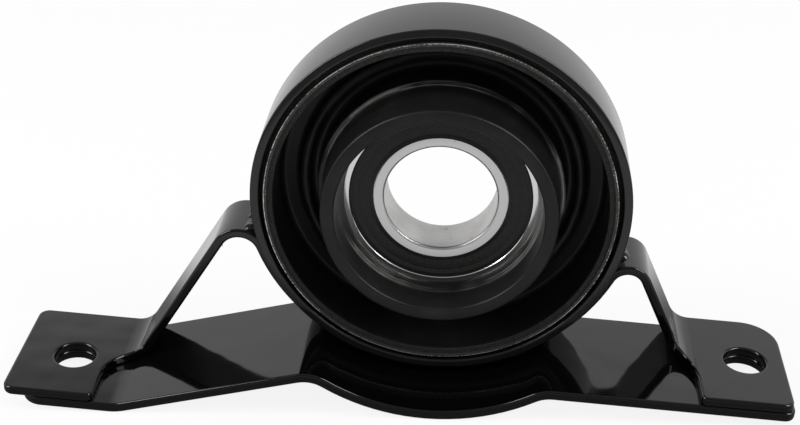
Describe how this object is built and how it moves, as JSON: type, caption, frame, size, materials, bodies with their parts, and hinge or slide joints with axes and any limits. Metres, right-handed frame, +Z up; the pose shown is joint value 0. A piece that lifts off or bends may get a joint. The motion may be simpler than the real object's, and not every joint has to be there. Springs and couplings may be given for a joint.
{
  "type": "driveshaft centre bearing",
  "caption": "Centre support for a driveshaft: a sealed ball bearing in a moulded rubber mount, set in a steel ring on a bent sheet bracket with bolt-down feet.",
  "frame": {"origin": "centre of the ball bearing, on the shaft's axis", "axes": "+Y along the shaft, away from the open front of the rubber; +X to the right seen from the front, towards the higher foot; +Z up as the part stands on its lower leaf"},
  "size_m": [0.2139, 0.0392, 0.1054],
  "materials": {
    "bracket_paint": "gloss black paint",
    "weld": "gloss black paint over a weld",
    "ring_paint": "satin black paint",
    "sleeve": "dull plated steel",
    "rubber": "moulded black rubber",
    "race_steel": "ground bearing steel",
    "seal": "smooth black rubber",
    "cage": "pressed steel",
    "ball_steel": "polished ball steel"
  },
  "bodies": {
    "housing": {"upper_strap": "bracket_paint", "lower_plate": "bracket_paint", "weld_beads": "weld", "housing_ring": "ring_paint", "outer_sleeve": "sleeve", "rubber_mount": "rubber", "bearing_outer_ring": "race_steel", "front_seal": "seal", "rear_seal": "seal"},
    "inner_ring": {"bearing_inner_ring": "race_steel"},
    "cage": {"cage_front": "cage", "cage_rear": "cage", "cage_rivets": "cage"},
    "ball_1_body": {"ball_1": "ball_steel"},
    "ball_2_body": {"ball_2": "ball_steel"},
    "ball_3_body": {"ball_3": "ball_steel"},
    "ball_4_body": {"ball_4": "ball_steel"},
    "ball_5_body": {"ball_5": "ball_steel"},
    "ball_6_body": {"ball_6": "ball_steel"},
    "ball_7_body": {"ball_7": "ball_steel"},
    "ball_8_body": {"ball_8": "ball_steel"},
    "ball_9_body": {"ball_9": "ball_steel"},
    "ball_10_body": {"ball_10": "ball_steel"},
    "ball_11_body": {"ball_11": "ball_steel"}
  },
  "joints": [
    {"name": "inner_ring_spin", "type": "hinge", "parent": "housing", "child": "inner_ring", "pos_m": [0, 0, 0], "axis": [0, 1, 0], "continuous": true},
    {"name": "cage_orbit", "type": "hinge", "parent": "housing", "child": "cage", "pos_m": [0, 0, 0], "axis": [0, 1, 0], "continuous": true},
    {"name": "ball_1_spin", "type": "hinge", "parent": "cage", "child": "ball_1_body", "pos_m": [0, 0, 0.02125], "axis": [0, 1, 0], "continuous": true},
    {"name": "ball_2_spin", "type": "hinge", "parent": "cage", "child": "ball_2_body", "pos_m": [-0.01149, 0, 0.01788], "axis": [0, 1, 0], "continuous": true},
    {"name": "ball_3_spin", "type": "hinge", "parent": "cage", "child": "ball_3_body", "pos_m": [-0.01933, 0, 0.00883], "axis": [0, 1, 0], "continuous": true},
    {"name": "ball_4_spin", "type": "hinge", "parent": "cage", "child": "ball_4_body", "pos_m": [-0.02103, 0, -0.00302], "axis": [0, 1, 0], "continuous": true},
    {"name": "ball_5_spin", "type": "hinge", "parent": "cage", "child": "ball_5_body", "pos_m": [-0.01606, 0, -0.01392], "axis": [0, 1, 0], "continuous": true},
    {"name": "ball_6_spin", "type": "hinge", "parent": "cage", "child": "ball_6_body", "pos_m": [-0.00599, 0, -0.02039], "axis": [0, 1, 0], "continuous": true},
    {"name": "ball_7_spin", "type": "hinge", "parent": "cage", "child": "ball_7_body", "pos_m": [0.00599, 0, -0.02039], "axis": [0, 1, 0], "continuous": true},
    {"name": "ball_8_spin", "type": "hinge", "parent": "cage", "child": "ball_8_body", "pos_m": [0.01606, 0, -0.01392], "axis": [0, 1, 0], "continuous": true},
    {"name": "ball_9_spin", "type": "hinge", "parent": "cage", "child": "ball_9_body", "pos_m": [0.02103, 0, -0.00302], "axis": [0, 1, 0], "continuous": true},
    {"name": "ball_10_spin", "type": "hinge", "parent": "cage", "child": "ball_10_body", "pos_m": [0.01933, 0, 0.00883], "axis": [0, 1, 0], "continuous": true},
    {"name": "ball_11_spin", "type": "hinge", "parent": "cage", "child": "ball_11_body", "pos_m": [0.01149, 0, 0.01788], "axis": [0, 1, 0], "continuous": true}
  ],
  "couplings": [
    {"joint": "cage_orbit", "follows": "inner_ring_spin", "ratio": 0.38794},
    {"joint": "ball_1_spin", "follows": "inner_ring_spin", "ratio": -2.1189},
    {"joint": "ball_2_spin", "follows": "inner_ring_spin", "ratio": -2.1189},
    {"joint": "ball_3_spin", "follows": "inner_ring_spin", "ratio": -2.1189},
    {"joint": "ball_4_spin", "follows": "inner_ring_spin", "ratio": -2.1189},
    {"joint": "ball_5_spin", "follows": "inner_ring_spin", "ratio": -2.1189},
    {"joint": "ball_6_spin", "follows": "inner_ring_spin", "ratio": -2.1189},
    {"joint": "ball_7_spin", "follows": "inner_ring_spin", "ratio": -2.1189},
    {"joint": "ball_8_spin", "follows": "inner_ring_spin", "ratio": -2.1189},
    {"joint": "ball_9_spin", "follows": "inner_ring_spin", "ratio": -2.1189},
    {"joint": "ball_10_spin", "follows": "inner_ring_spin", "ratio": -2.1189},
    {"joint": "ball_11_spin", "follows": "inner_ring_spin", "ratio": -2.1189}
  ]
}
